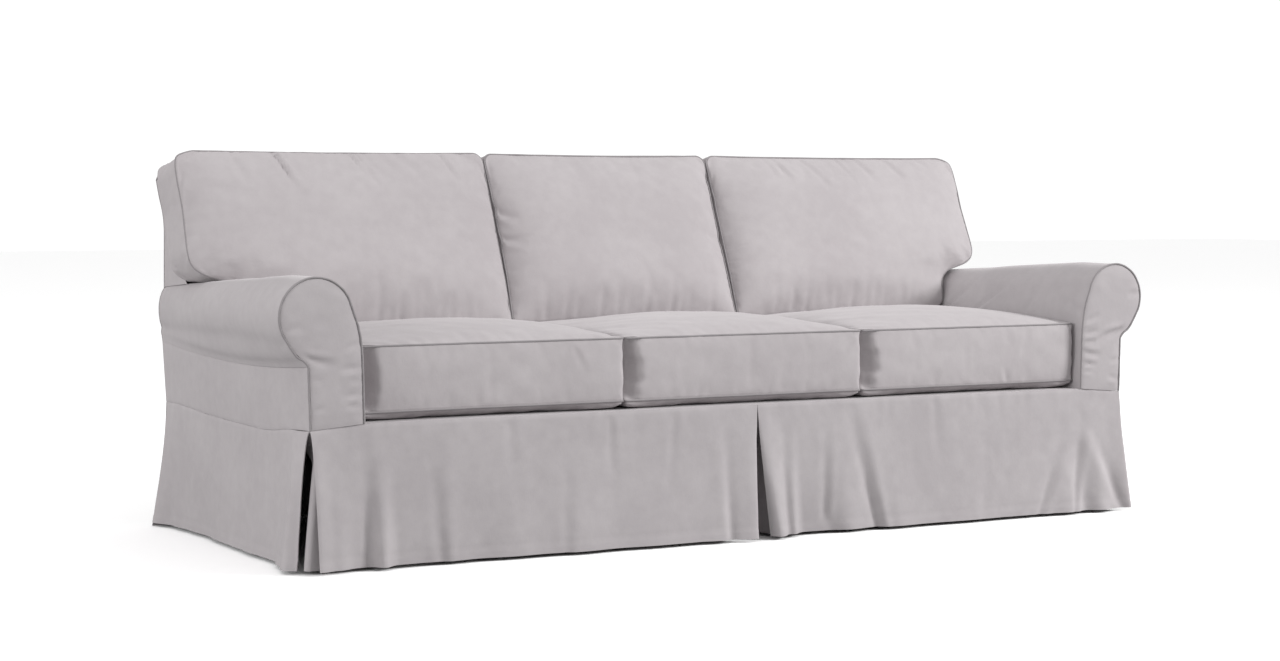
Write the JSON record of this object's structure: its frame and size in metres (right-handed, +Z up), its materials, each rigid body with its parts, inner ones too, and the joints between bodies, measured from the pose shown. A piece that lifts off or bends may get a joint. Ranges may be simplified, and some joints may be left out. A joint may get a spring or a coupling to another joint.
{
  "type": "sofa slipcover",
  "caption": "Fitted slipcover for a roll-arm sofa, with boxed and piped seat cushions, raked back cushions with ears over the arms, and a full skirt with kick pleats",
  "frame": {"origin": "point under the top of the back, in the middle of the length, where the sofa's back holds the cover", "axes": "+X along the sofa to its right end as seen from the front, +Y to the back, +Z up"},
  "size_m": [2.2475, 0.954, 0.8581],
  "materials": {
    "panel_cloth": "matte woven cotton with a soft suede-like hand",
    "cushion_cloth": "the same matte woven cotton over filled cushions",
    "piping": "matte self piping, cut on the bias over a cord"
  },
  "bodies": {
    "root": {"arm_front_left": "panel_cloth", "arm_front_right": "panel_cloth", "arm_left": "panel_cloth", "arm_outer_left": "panel_cloth", "arm_outer_right": "panel_cloth", "arm_right": "panel_cloth", "arm_welt_left": "piping", "arm_welt_right": "piping", "back_left": "cushion_cloth", "back_mid": "cushion_cloth", "back_right": "cushion_cloth", "back_side_left": "panel_cloth", "back_side_right": "panel_cloth", "back_top": "panel_cloth", "back_welt_left": "piping", "back_welt_mid": "piping", "back_welt_right": "piping", "deck": "panel_cloth", "inside_back": "panel_cloth", "outside_back": "panel_cloth", "pleat_left": "panel_cloth", "pleat_middle": "panel_cloth", "pleat_right": "panel_cloth", "seat_left": "cushion_cloth", "seat_mid": "cushion_cloth", "seat_right": "cushion_cloth", "seat_welt_bottom_left": "piping", "seat_welt_bottom_mid": "piping", "seat_welt_bottom_right": "piping", "seat_welt_top_left": "piping", "seat_welt_top_mid": "piping", "seat_welt_top_right": "piping", "skirt_back": "panel_cloth", "skirt_front_left": "panel_cloth", "skirt_front_right": "panel_cloth", "skirt_side_left": "panel_cloth", "skirt_side_right": "panel_cloth"}
  },
  "joints": []
}
